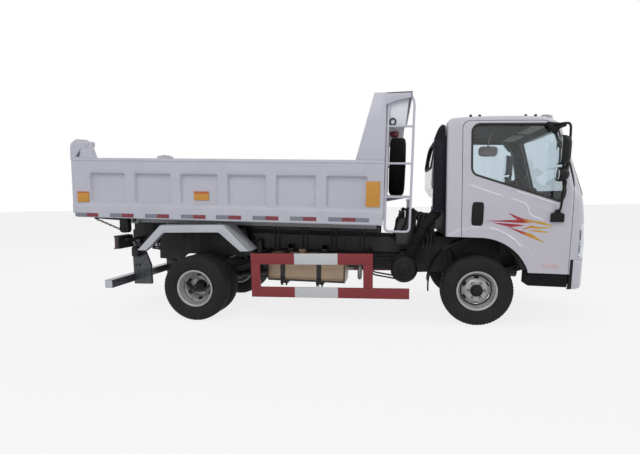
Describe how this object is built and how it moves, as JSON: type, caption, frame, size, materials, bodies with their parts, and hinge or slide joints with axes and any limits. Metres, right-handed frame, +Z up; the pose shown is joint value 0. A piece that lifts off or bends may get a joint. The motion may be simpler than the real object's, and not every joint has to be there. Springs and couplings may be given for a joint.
{
  "type": "dump truck",
  "caption": "Light dump truck with a tilting cab, tipping steel bed, swinging tailgate, side guards, twin rear wheels and steered front wheels.",
  "frame": {"origin": "on the ground under the middle of the truck's overall length and width", "axes": "+X forward towards the cab, +Y to the driver's left, +Z up"},
  "size_m": [5.9969, 2.38, 2.5747],
  "materials": {
    "frame_black": "satin",
    "axle_black": "semi-gloss",
    "engine_iron": "matt",
    "spring_steel": "satin",
    "tyre": "matt",
    "rim_paint": "semi-gloss",
    "guard_paint": "gloss red with a white middle",
    "fender_paint": "satin",
    "tank_metal": "brushed",
    "exhaust_steel": "heat-stained",
    "box_plastic": "textured",
    "hydraulic_paint": "satin",
    "lamp_red": "clear-coated",
    "bed_paint": "gloss white",
    "hoist_red": "gloss",
    "ram_chrome": "polished",
    "cab_paint": "gloss white",
    "cab_glass": "clear, faintly green",
    "lamp_clear": "clear lens over a reflector",
    "grille_plastic": "satin black",
    "interior_plastic": "grained",
    "seat_cloth": "woven",
    "liner_plastic": "matt black",
    "mirror_plastic": "satin black"
  },
  "bodies": {
    "chassis": {"chassis_rails": "frame_black", "tipper_subframe": "frame_black", "engine": "engine_iron", "driveline": "engine_iron", "leaf_springs": "spring_steel", "front_axle_beam": "axle_black", "rear_axle": "axle_black", "side_guards": "guard_paint", "rear_fenders": "fender_paint", "underride_bar": "frame_black", "tail_lamps": "lamp_red", "fuel_tank": "tank_metal", "battery_and_air_tank": "box_plastic", "air_cleaner": "box_plastic", "exhaust": "exhaust_steel", "hydraulic_oil_tank": "hydraulic_paint"},
    "knuckle_left": {"knuckle_left": "axle_black"},
    "knuckle_right": {"knuckle_right": "axle_black"},
    "tie_rod": {"tie_rod": "axle_black"},
    "wheel_front_left": {"tyre_front_left": "tyre", "rim_front_left": "rim_paint"},
    "wheel_front_right": {"tyre_front_right": "tyre", "rim_front_right": "rim_paint"},
    "wheels_rear_left": {"tyres_rear_left": "tyre", "rims_rear_left": "rim_paint"},
    "wheels_rear_right": {"tyres_rear_right": "tyre", "rims_rear_right": "rim_paint"},
    "bed": {"bed_floor": "bed_paint", "bed_underframe": "bed_paint", "bed_side_left": "bed_paint", "bed_side_right": "bed_paint", "headboard": "bed_paint", "spare_carrier": "bed_paint", "spare_wheel": "tyre", "chain_hoist": "hoist_red", "ladder": "bed_paint"},
    "tailgate": {"tailgate": "bed_paint"},
    "hoist_barrel": {"hoist_barrel": "hydraulic_paint"},
    "hoist_rod": {"hoist_rod": "ram_chrome"},
    "cab": {"cab_shell": "cab_paint", "cab_glass": "cab_glass", "front_grille": "grille_plastic", "bumper": "cab_paint", "headlamps": "lamp_clear", "dashboard": "interior_plastic", "steering_wheel": "interior_plastic", "seats": "seat_cloth", "arch_liners_and_steps": "liner_plastic", "intake_snorkel": "liner_plastic"},
    "door_left": {"door_left": "cab_paint", "door_glass_left": "cab_glass", "mirror_left": "mirror_plastic"},
    "door_right": {"door_right": "cab_paint", "door_glass_right": "cab_glass", "mirror_right": "mirror_plastic"}
  },
  "joints": [
    {"name": "steer_left", "type": "hinge", "parent": "chassis", "child": "knuckle_left", "pos_m": [1.817, 0.64, 0.398], "axis": [0, 0, 1], "range_deg": [-35, 35]},
    {"name": "steer_right", "type": "hinge", "parent": "chassis", "child": "knuckle_right", "pos_m": [1.817, -0.64, 0.398], "axis": [0, 0, 1], "range_deg": [-36, 36]},
    {"name": "tie_rod_slide", "type": "slide", "parent": "chassis", "child": "tie_rod", "axis": [0, 1, 0], "range_m": [-0.104, 0.104]},
    {"name": "wheel_front_left_turn", "type": "hinge", "parent": "knuckle_left", "child": "wheel_front_left", "pos_m": [1.817, 0.815, 0.398], "axis": [0, 1, 0], "continuous": true},
    {"name": "wheel_front_right_turn", "type": "hinge", "parent": "knuckle_right", "child": "wheel_front_right", "pos_m": [1.817, -0.815, 0.398], "axis": [0, 1, 0], "continuous": true},
    {"name": "wheels_rear_left_turn", "type": "hinge", "parent": "chassis", "child": "wheels_rear_left", "pos_m": [-1.483, 0.773, 0.398], "axis": [0, 1, 0], "continuous": true},
    {"name": "wheels_rear_right_turn", "type": "hinge", "parent": "chassis", "child": "wheels_rear_right", "pos_m": [-1.483, -0.773, 0.398], "axis": [0, 1, 0], "continuous": true},
    {"name": "bed_tip", "type": "hinge", "parent": "chassis", "child": "bed", "pos_m": [-2.56456, 0, 1.20341], "axis": [0, -1, 0], "range_deg": [0, 48]},
    {"name": "tailgate_swing", "type": "hinge", "parent": "bed", "child": "tailgate", "pos_m": [-2.7418, 0, 2.14516], "axis": [0, 1, 0], "range_deg": [0, 80]},
    {"name": "hoist_tilt", "type": "hinge", "parent": "chassis", "child": "hoist_barrel", "pos_m": [-0.88362, 0, 0.91456], "axis": [0, -1, 0], "range_deg": [0, 72.38]},
    {"name": "hoist_stroke", "type": "slide", "parent": "hoist_barrel", "child": "hoist_rod", "axis": [0.9925, 0, 0.1221], "range_m": [0, 1.1381]},
    {"name": "cab_tilt", "type": "hinge", "parent": "chassis", "child": "cab", "pos_m": [2.70071, 0, 0.68934], "axis": [0, 1, 0], "range_deg": [0, 45]},
    {"name": "door_left_swing", "type": "hinge", "parent": "cab", "child": "door_left", "pos_m": [2.74693, 0.966, 1.26808], "axis": [-0.0349, 0, -0.9994], "range_deg": [0, 70]},
    {"name": "door_right_swing", "type": "hinge", "parent": "cab", "child": "door_right", "pos_m": [2.74693, -0.966, 1.26808], "axis": [0.0349, 0, 0.9994], "range_deg": [0, 70]}
  ],
  "couplings": [
    {"joint": "steer_right", "follows": "steer_left", "ratio": 1},
    {"joint": "tie_rod_slide", "follows": "steer_left", "m_per_rad": -0.165},
    {"joint": "hoist_tilt", "follows": "bed_tip", "ratio": 1.4974},
    {"joint": "hoist_stroke", "follows": "bed_tip", "m_per_rad": 1.3466}
  ]
}
